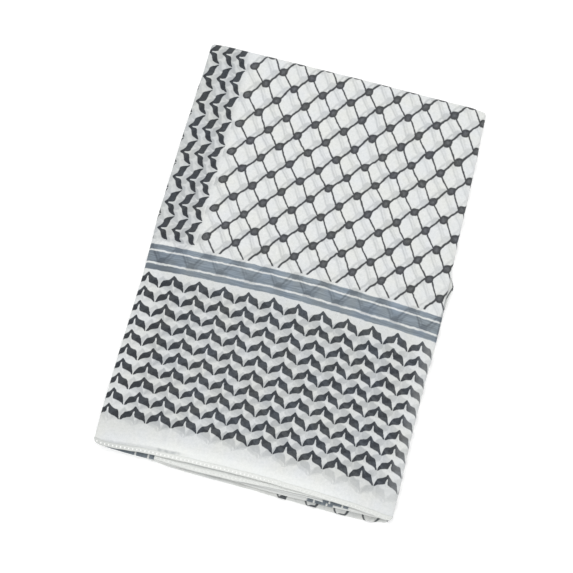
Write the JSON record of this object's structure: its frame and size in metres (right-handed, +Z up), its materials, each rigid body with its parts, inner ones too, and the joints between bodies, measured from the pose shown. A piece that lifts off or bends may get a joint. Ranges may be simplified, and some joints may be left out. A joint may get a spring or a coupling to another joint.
{
  "type": "folded chiffon hijab",
  "caption": "Sheer printed head scarf folded into a flat rectangular pack, with net, leaf and stripe print and narrow rolled hems.",
  "frame": {"origin": "on the surface it lies on, under the middle of the pack", "axes": "+Z up, +Y along the pack from the hemmed near edge to the far fold, +X across it"},
  "size_m": [0.2535, 0.3593, 0.011],
  "materials": {
    "printed_chiffon": "sheer off-white chiffon with a charcoal and blue-grey screen print",
    "rolled_hem": "off-white chiffon turned twice and stitched with white thread"
  },
  "bodies": {
    "root": {"top_panel": "printed_chiffon", "top_hem": "rolled_hem", "under_panel": "printed_chiffon", "under_hem": "rolled_hem", "inner_folds": "printed_chiffon", "bottom_fold": "printed_chiffon"}
  },
  "joints": []
}
